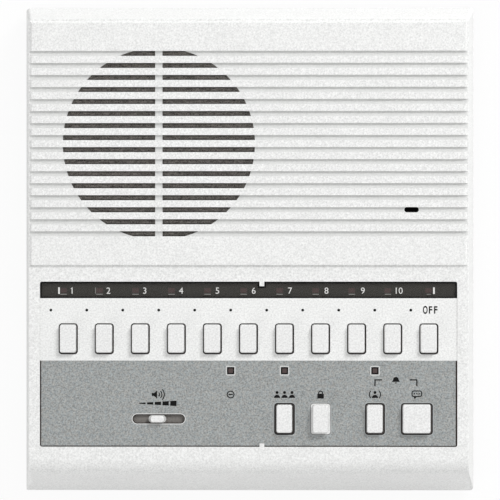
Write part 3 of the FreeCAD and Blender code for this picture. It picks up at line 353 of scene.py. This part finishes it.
finishes = {
    "front_cover": cover_white, "rear_cover": rear_grey, "control_panel": panel_white,
    "panel_overlay": overlay_grey, "directory_window": window_smoke,
    "directory_card": card_black, "selector_switch_block": switch_black, "latch_bar": steel,
    "call_switches": switch_black, "volume_potentiometer": steel, "volume_lever": steel,
    "lock_key": key_white, "volume_knob": knob_white, "volume_shutter": shutter_brown,
    "station_lamps": station_resin, "indicator_lamps": lamp_resin, "speaker_cloth": cloth,
    "speaker_gasket": foam, "speaker_basket": steel, "speaker_cone": cone_pulp,
    "speaker_magnet": ferrite, "speaker_yoke": steel, "speaker_clamps": steel,
    "microphone_boot": foam, "microphone_capsule": can, "main_board": green_board,
    "terminal_block": switch_black, "output_transformer": laminations, "capacitors": can,
    "self_tapping_screws": screw_steel, "rubber_feet": rubber, **call_whites}
for name, item in nodes.items():
    finish = finishes.get(name, wire if "_spring" in name else station_white)
    item.data.materials.clear()
    item.data.materials.append(finish)


# Printing and painted shade: thin shapes that lie on the face that carries them
def kept(name, mesh, material, body="case"):
    """A finished piece from a bmesh in metres, riding on its body."""
    data = bpy.data.meshes.new(name)
    mesh.to_mesh(data)
    mesh.free()
    data.materials.append(material)
    item = bpy.data.objects.new(name, data)
    bpy.context.scene.collection.objects.link(item)
    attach(item, body)


def in_metres(mesh, z):
    """Takes a bmesh laid out in millimetres to its height in the model."""
    bmesh.ops.transform(mesh, verts=mesh.verts,
                        matrix=Matrix.Translation((0, 0, z)) @ Matrix.Scale(MM, 4))


class FlatMarks:
    """Flat signs and patches of painted shade laid out in millimetres, then raised a little off the
    face under them.
    """

    def __init__(self):
        self.mesh = bmesh.new()

    def disc(self, x, y, radius, segments=24):
        bmesh.ops.create_circle(self.mesh, cap_ends=True, segments=segments, radius=radius,
                                matrix=Matrix.Translation((x, y, 0)))
        return self

    def shape(self, *points):
        self.mesh.faces.new([self.mesh.verts.new((x, y, 0)) for x, y in points])
        return self

    def bar(self, x, y, width, height):
        w, h = width / 2, height / 2
        return self.shape((x - w, y - h), (x + w, y - h), (x + w, y + h), (x - w, y + h))

    def arc(self, x, y, radius, width, start, end, segments=14):
        """A part of a ring, from one angle in degrees to another, as one band."""
        centre = Vector((x, y, 0))
        turn = Matrix.Rotation(math.radians(start), 4, "Z")
        ends = [self.mesh.verts.new(centre + turn @ Vector((radius + side * width / 2, 0, 0)))
                for side in (-1, 1)]
        edge = self.mesh.edges.new(ends)
        bmesh.ops.spin(self.mesh, geom=[edge, *ends], cent=centre, axis=(0, 0, 1),
                       angle=math.radians(end - start), steps=segments, use_merge=False)
        return self

    def sector(self, x, y, radius, start, end, segments=14):
        """A part of a disc, cut straight across its ends."""
        angles = [math.radians(start + (end - start) * i / segments) for i in range(segments + 1)]
        return self.shape(*((x + radius * math.cos(a), y + radius * math.sin(a)) for a in angles))

    def rim(self, x, y, width, height, radius, thickness):
        """A band of even thickness outside a rounded rectangle."""
        w, h = width / 2 + thickness, height / 2 + thickness
        corners = [self.mesh.verts.new((x + i * w, y + j * h, 0))
                   for i, j in ((-1, -1), (1, -1), (1, 1), (-1, 1))]
        self.mesh.faces.new(corners)
        bmesh.ops.bevel(self.mesh, geom=corners, affect="VERTICES", offset=radius + thickness,
                        offset_type="OFFSET", segments=8, profile=0.5, material=-1)
        centre = Vector((x, y, 0))
        face = next(f for f in self.mesh.faces
                    if len(f.verts) > 8 and (f.calc_center_median() - centre).length < 0.01)
        face.normal_update()
        bmesh.ops.inset_region(self.mesh, faces=[face], thickness=thickness, use_boundary=True,
                               use_even_offset=True)
        bmesh.ops.delete(self.mesh, geom=[face], context="FACES")
        return self

    def lining(self, x, y, width, height, radius, thickness):
        """A band of even thickness inside a rounded rectangle."""
        return self.rim(x, y, width - 2 * thickness, height - 2 * thickness, radius - thickness,
                        thickness)

    def finished(self, name, z, material, slot, thickness=0.03):
        bmesh.ops.recalc_face_normals(self.mesh, faces=self.mesh.faces)
        for face in self.mesh.faces:
            if face.normal.z < 0:
                face.normal_flip()
        raised = bmesh.ops.extrude_face_region(self.mesh, geom=list(self.mesh.faces))["geom"]
        bmesh.ops.translate(self.mesh, vec=(0, 0, thickness),
                            verts=[v for v in raised if isinstance(v, bmesh.types.BMVert)])
        bmesh.ops.recalc_face_normals(self.mesh, faces=self.mesh.faces)
        in_metres(self.mesh, z)
        kept(name, self.mesh, material)


def figures(name, words, z, material, bolder=0.0):
    """Printed figures: each one's text, the middle of its place, its width and its height, in
    millimetres. Without a width it keeps the letters' own proportions."""
    mesh = bmesh.new()
    for text, x, y, width, height in words:
        curve = bpy.data.curves.new(name, "FONT")
        curve.body = text
        curve.align_x = "CENTER"
        curve.extrude = 0.01
        curve.offset = bolder
        item = bpy.data.objects.new(name, curve)
        bpy.context.scene.collection.objects.link(item)
        bpy.context.view_layer.update()
        shape = bpy.data.meshes.new_from_object(
            item.evaluated_get(bpy.context.evaluated_depsgraph_get()))
        bpy.data.objects.remove(item)
        bpy.data.curves.remove(curve)
        xs, ys = zip(*((v.co.x, v.co.y) for v in shape.vertices))
        upright = height / (max(ys) - min(ys))
        across = width / (max(xs) - min(xs)) if width else upright
        shape.transform(Matrix.Translation((-(min(xs) + max(xs)) / 2, -(min(ys) + max(ys)) / 2, 0)))
        shape.transform(Matrix.Diagonal((across, upright, 1.5, 1)))
        shape.transform(Matrix.Translation((x, y, 0)))
        mesh.from_mesh(shape)
        bpy.data.meshes.remove(shape)
    in_metres(mesh, z)
    kept(name, mesh, material)


face_z = level("control_panel")
overlay_z = level("panel_overlay")
window_z = level("directory_window")

# Over the station keys: a dot at the left of each, and the word over the last one
STATIONS = 10
DOTS_Y = -25.4
FIRST_DOT_X, DOT_PITCH, DOT_RADIUS = -82.25, 14.975, 0.58
WORD_Y = DOTS_Y + 0.1
ROUND_LETTER = (1.95, 3.4)
STRAIGHT_LETTER = (1.45, 3.1)
key_xs = [middle(f"station_key_{i:02d}")[0] for i in range(1, STATIONS + 2)]
off_x = key_xs[-1]
dots = FlatMarks()
for i in range(STATIONS + 1):
    dots.disc(FIRST_DOT_X + DOT_PITCH * i, DOTS_Y, DOT_RADIUS)
dots.finished("station_dots", face_z, black_ink_and_shade, "switch_black")
figures("off_sign", [("O", off_x - 1.5, WORD_Y, *ROUND_LETTER),
                     ("F", off_x + 0.7, WORD_Y, *STRAIGHT_LETTER),
                     ("F", off_x + 2.85, WORD_Y, *STRAIGHT_LETTER)],
        face_z, black_ink_and_shade, bolder=0.03)

# On the card: a number after each lamp, and ticks at both ends
STRIP_Y = -17.3
FIRST_FIGURE_X, FIGURE_PITCH, FIGURE_HEIGHT = -73.4, 15.12, 2.6
TEN_X = FIRST_FIGURE_X + FIGURE_PITCH * (STATIONS - 1)
TICK = (0.72, 2.75)
card_low, card_high = (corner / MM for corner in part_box("directory_card"))
figures("station_figures",
        [(str(i + 1), FIRST_FIGURE_X + FIGURE_PITCH * i, STRIP_Y, None, FIGURE_HEIGHT)
         for i in range(STATIONS)],
        window_z, pale_ink)
ticks = FlatMarks()
for x in (key_xs[0] - 3.85, off_x + 2.1):
    ticks.bar(x, STRIP_Y, *TICK)
for x in (FIRST_FIGURE_X, TEN_X - 0.95):
    ticks.shape((x - 0.65, STRIP_Y + 0.75), (x, STRIP_Y + 0.85), (x, STRIP_Y + 1.3))
ticks.finished("strip_ticks", window_z, pale_ink, "panel_white")

# Under the lamps: a dim line each
LAMP_LEAD = 2.0
LINE_Y = STRIP_Y - 1.5
underlines = FlatMarks()
for x in key_xs[:-1]:
    underlines.bar(x - LAMP_LEAD, LINE_Y, 2.66, 0.32)
underlines.bar(off_x, LINE_Y, 1.7, 0.25)
underlines.bar(key_xs[1] - 3.65, STRIP_Y, 0.25, 2.6)
underlines.finished("lamp_underlines", window_z, dim_ink, "panel_white")

# Round the strip: a dark edge, and a dark notch for the cover's upper lug, both painted shade where
# the window lies sunk below the cover
EDGE = 0.55
NOTCH_X, NOTCH_WIDTH, NOTCH_DEPTH = 5.6, 3.1, 2.45
edges = FlatMarks()
for y in (card_low.y + EDGE / 2, card_high.y - EDGE / 2):
    edges.bar((card_low.x + card_high.x) / 2, y, card_high.x - card_low.x, EDGE)
for x in (card_low.x + EDGE / 2, card_high.x - EDGE / 2):
    edges.bar(x, (card_low.y + card_high.y) / 2, EDGE, card_high.y - card_low.y - 2 * EDGE)
edges.finished("strip_edge_shade", window_z, black_ink_and_shade, "switch_black", thickness=0.02)
# Painted shade: a black patch on the card in the notch round the lug.
notch_shade = FlatMarks().bar(NOTCH_X, card_high.y - NOTCH_DEPTH / 2, NOTCH_WIDTH, NOTCH_DEPTH)
notch_shade.finished("window_notch_shade", level("directory_card"), black_ink_and_shade, "switch_black")

# A pale bead in the gap at both ends of the white panel
BEAD = 0.13
low, high = (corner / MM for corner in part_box("panel_overlay"))
beads = FlatMarks()
for x in (low.x - BEAD / 2, high.x + BEAD / 2):
    beads.bar(x, (card_low.y + high.y) / 2, BEAD, card_low.y - high.y)
beads.finished("panel_beads", face_z - 0.12 * MM, cover_white, "cover_plastic", thickness=0.1)

# Pale rims printed round the openings in the grey film, and dark bezels in the lamps
RIM = 0.35
CALL_HOLE_LENGTH, CALL_HOLE_RADIUS = 13.3, 1.4
CALL_HOLE_WIDTHS = {"all_call_key": 8.6, "lock_key": 8.6, "private_key": 8.35, "talk_key": 13.3}
key_rims = FlatMarks()
for name, width in CALL_HOLE_WIDTHS.items():
    key_rims.rim(*middle(name), width, CALL_HOLE_LENGTH, CALL_HOLE_RADIUS, RIM)
key_rims.finished("key_rims", overlay_z, faint_ink, "panel_white", thickness=0.02)
volume_slot = (*middle("volume_potentiometer"), 21.8, 3.9, 1.94)
slot_x = volume_slot[0]
LAMP_SIZE, LAMP_HOLE, LAMP_RIM = 2.8, 3.1, 0.45
BEZEL_SIZE, BEZEL = 1.9, 0.43
low, high = (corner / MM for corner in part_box("indicator_lamps"))
lamp_y = high.y - LAMP_SIZE / 2
lamp_xs = (low.x + LAMP_SIZE / 2, middle("all_call_key")[0], high.x - LAMP_SIZE / 2)
rims = FlatMarks().rim(*volume_slot, RIM)
bezels = FlatMarks()
for x in lamp_xs:
    rims.rim(x, lamp_y, LAMP_HOLE, LAMP_HOLE, 0.15, LAMP_RIM)
    bezels.rim(x, lamp_y, BEZEL_SIZE, BEZEL_SIZE, 0.1, BEZEL)
rims.finished("opening_rims", overlay_z, rim_ink, "panel_white", thickness=0.02)
bezels.finished("lamp_bezels", level("indicator_lamps"), black_ink_and_shade, "switch_black")

# Painted shade: dark lines along the film's ends and its lower edge, where the gaps round the panel
# lie in shade
LEFT_LINE, RIGHT_LINE, LOWER_LINE = 0.4, 0.5, 0.3
low, high = (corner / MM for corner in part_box("panel_overlay"))
film_end_shade = FlatMarks()
for x, width in ((low.x + LEFT_LINE / 2, LEFT_LINE), (high.x - RIGHT_LINE / 2, RIGHT_LINE)):
    film_end_shade.bar(x, (low.y + high.y) / 2, width, high.y - low.y)
film_end_shade.bar((low.x + high.x) / 2, low.y + LOWER_LINE / 2, high.x - low.x, LOWER_LINE)
film_end_shade.finished("film_end_shade", overlay_z, brown_painted_shade, "switch_black", thickness=0.02)

# Painted shade: a dark liner in the volume slot, where its walls lie in shade. A dark liner in the
# microphone slot, over felt on the capsule
LINER, SLEEVE = 0.28, 0.35
MICROPHONE_SLOT = (6.0, 2.2, 1.09)
FACE_WALL = 2.3
FELT_RADIUS = 4.9
shutter_z = level("volume_shutter")
microphone = middle("microphone_capsule")
volume_slot_shade = FlatMarks().lining(*volume_slot, LINER)
volume_slot_shade.finished("volume_slot_shade_liner", shutter_z + 0.05 * MM, brown_painted_shade, "switch_black",
               thickness=(overlay_z - shutter_z) / MM - 0.1)
sleeve = FlatMarks().lining(*microphone, *MICROPHONE_SLOT, SLEEVE)
sleeve.finished("microphone_sleeve", FACE - FACE_WALL * MM, black_ink_and_shade, "switch_black",
                thickness=FACE_WALL - 0.1)
felt = FlatMarks().disc(*microphone, FELT_RADIUS, 48)
felt.finished("microphone_felt", level("microphone_capsule"), black_ink_and_shade, "foam_rubber")

# Plain signs over the call keys and the volume control
SIGN_Y = -60.5
STROKE = 0.42
all_call_x, lock_x, private_x, talk_x = (
    middle(name)[0] for name in ("all_call_key", "lock_key", "private_key", "talk_key"))


def person(sign, x, y):
    """A head over shoulders."""
    sign.disc(x, y + 0.85, 0.62, 16)
    sign.sector(x, y - 1.4, 1.3, 0, 180)


def on_film(sign, name):
    sign.finished(name, overlay_z, black_ink_and_shade, "switch_black")


# A row of bars that grow to the right, over the slot
BARS, BAR_GAP, BARS_Y = 5, 0.6, -64.2
LEFT_HEIGHT, HEIGHT_GAIN = 0.18, 0.95
bars_left, bars_right = slot_x - 8.1, slot_x + 7.4
bar_width = (bars_right - bars_left - (BARS - 1) * BAR_GAP) / BARS
wedge = FlatMarks()
for i in range(BARS):
    left = bars_left + i * (bar_width + BAR_GAP)
    right = left + bar_width
    low, high = (LEFT_HEIGHT + HEIGHT_GAIN * (x - bars_left) / (bars_right - bars_left)
                 for x in (left, right))
    wedge.shape((left, BARS_Y - low), (right, BARS_Y - high), (right, BARS_Y + high),
                (left, BARS_Y + low))
on_film(wedge, "volume_wedge")

# A loudspeaker and its waves
volume = FlatMarks()
volume.shape((slot_x - 2.9, SIGN_Y - 0.6), (slot_x - 2.0, SIGN_Y - 0.6),
             (slot_x - 0.7, SIGN_Y - 1.65), (slot_x - 0.7, SIGN_Y + 1.65),
             (slot_x - 2.0, SIGN_Y + 0.6), (slot_x - 2.9, SIGN_Y + 0.6))
for radius in (1.2, 2.2, 3.2):
    volume.arc(slot_x - 0.9, SIGN_Y, radius, STROKE, -42, 42)
on_film(volume, "volume_sign")

occupied = FlatMarks()
occupied.arc(lamp_xs[0], SIGN_Y, 1.4, STROKE, 0, 360, 40)
occupied.bar(lamp_xs[0], SIGN_Y, 1.8, 0.5)
on_film(occupied, "occupied_sign")

everyone = FlatMarks()
for offset in (-3.1, 0.0, 3.1):
    person(everyone, all_call_x + offset, SIGN_Y)
on_film(everyone, "all_call_sign")

padlock = FlatMarks()
padlock.bar(lock_x, SIGN_Y - 0.65, 2.7, 2.0)
padlock.arc(lock_x, SIGN_Y + 0.6, 0.8, STROKE, 0, 180)
for side in (-0.8, 0.8):
    padlock.bar(lock_x + side, SIGN_Y + 0.475, STROKE, 0.25)
on_film(padlock, "lock_sign")

private = FlatMarks()
person(private, private_x, SIGN_Y)
for start in (-40, 140):
    private.arc(private_x, SIGN_Y, 2.3, STROKE, start, start + 80)
on_film(private, "private_sign")

# A speech bubble with its tail and three dots
BUBBLE_Y = SIGN_Y + 0.35
speech = FlatMarks()
speech.rim(talk_x, BUBBLE_Y, 3.6, 1.9, 0.6, STROKE)
speech.shape((talk_x - 1.3, SIGN_Y - 0.9), (talk_x - 0.9, SIGN_Y - 2.0), (talk_x, SIGN_Y - 0.9))
for offset in (-1.0, 0.0, 1.0):
    speech.disc(talk_x + offset, BUBBLE_Y, 0.3, 12)
on_film(speech, "talk_sign")

# A bell between two brackets that reach down to the private and talk signs
BRACKET_Y, BRACKET = -54.4, 0.5
BRACKET_REACH, BRACKET_DROP = 2.7, 2.9
x = (private_x + talk_x) / 2
bell = FlatMarks()
bell.sector(x, BRACKET_Y + 0.1, 1.15, 0, 180)
bell.shape((x - 1.15, BRACKET_Y + 0.1), (x - 1.65, BRACKET_Y - 0.8), (x + 1.65, BRACKET_Y - 0.8),
           (x + 1.15, BRACKET_Y + 0.1))
bell.sector(x, BRACKET_Y - 1.05, 0.45, 180, 360)
for hand, side in ((-1, private_x), (1, talk_x)):
    bell.bar(side - hand * (BRACKET_REACH + BRACKET) / 2, BRACKET_Y, BRACKET_REACH, BRACKET)
    bell.bar(side, BRACKET_Y - (BRACKET_DROP - BRACKET) / 2, BRACKET, BRACKET_DROP)
on_film(bell, "call_sign")


# Light
def soft_light(name, at, size, power):
    """A round soft box that faces the case."""
    data = bpy.data.lights.new(name, "AREA")
    data.shape = "DISK"
    data.size = size
    data.energy = power
    lamp = bpy.data.objects.new(name, data)
    bpy.context.scene.collection.objects.link(lamp)
    lamp.location = at
    lamp.rotation_mode = "QUATERNION"
    lamp.rotation_quaternion = Vector(at).to_track_quat("Z", "Y")


soft_light("upper_right_softbox", (1.05, 1.25, 1.6), 0.8, 25.0)
soft_light("left_fill", (-1.5, -1.5, 0.9), 1.6, 12.0)
soft_light("upper_right_low", (1.3, 1.5, 0.35), 0.9, 8.0)

# A soft white sky for the case, and pure white behind it
SKY_STRENGTH = 0.59
WHITE = (1.0, 1.0, 1.0, 1.0)
world = bpy.data.worlds.new("studio")
bpy.context.scene.world = world
world.use_nodes = True
tree = world.node_tree
sky = tree.nodes["Background"]
sky.inputs["Color"].default_value = WHITE
sky.inputs["Strength"].default_value = SKY_STRENGTH
backdrop = tree.nodes.new("ShaderNodeBackground")
backdrop.inputs["Color"].default_value = WHITE
path = tree.nodes.new("ShaderNodeLightPath")
either = tree.nodes.new("ShaderNodeMixShader")
tree.links.new(path.outputs["Is Camera Ray"], either.inputs[0])
tree.links.new(sky.outputs[0], either.inputs[1])
tree.links.new(backdrop.outputs[0], either.inputs[2])
tree.links.new(either.outputs[0], tree.nodes["World Output"].inputs["Surface"])

# White paper under the case, which keeps a faint shadow
PAPER_GLOW = 0.93
ground = bmesh.new()
bmesh.ops.create_circle(ground, cap_ends=True, segments=96, radius=6.0)
data = bpy.data.meshes.new("ground")
ground.to_mesh(data)
ground.free()
floor = bpy.data.objects.new("ground", data)
bpy.context.scene.collection.objects.link(floor)
paper = Finish("white_paper", roughness=0.9, specular_ior_level=0.1)
paper.shader.inputs["Base Color"].default_value = (0.86, 0.86, 0.86, 1.0)
glow = paper.node("ShaderNodeEmission", None, {"Strength": 1.0})
share = paper.node("ShaderNodeLightPath", output="Is Camera Ray") * PAPER_GLOW
mixed = paper.node("ShaderNodeMixShader", None,
                   {0: share, 1: Signal(paper, paper.shader.outputs[0]), 2: glow})
paper.tree.links.new(mixed.socket, paper.tree.nodes["Material Output"].inputs["Surface"])
data.materials.append(paper.material)

# Camera: high over the case, a little right of its middle, turned back towards it
CAMERA_HEIGHT = 1.7
COVER_FOOT = 0.006
FRAME_WIDTH = 0.2126
SENSOR_MM = 36.0
CAMERA_X, AIM_X, CAMERA_Y = 0.025, 0.0001, -0.0004
camera = bpy.data.objects.new("camera", bpy.data.cameras.new("camera"))
bpy.context.scene.collection.objects.link(camera)
camera.location = (CAMERA_X, CAMERA_Y, CAMERA_HEIGHT + COVER_FOOT)
camera.rotation_euler.y = math.atan2(CAMERA_X - AIM_X, CAMERA_HEIGHT)
camera.data.sensor_width = SENSOR_MM
camera.data.lens = SENSOR_MM * CAMERA_HEIGHT / FRAME_WIDTH
camera.data.clip_start = 0.05
camera.data.clip_end = 30.0
bpy.context.scene.camera = camera
bpy.context.scene.view_settings.view_transform = "Standard"
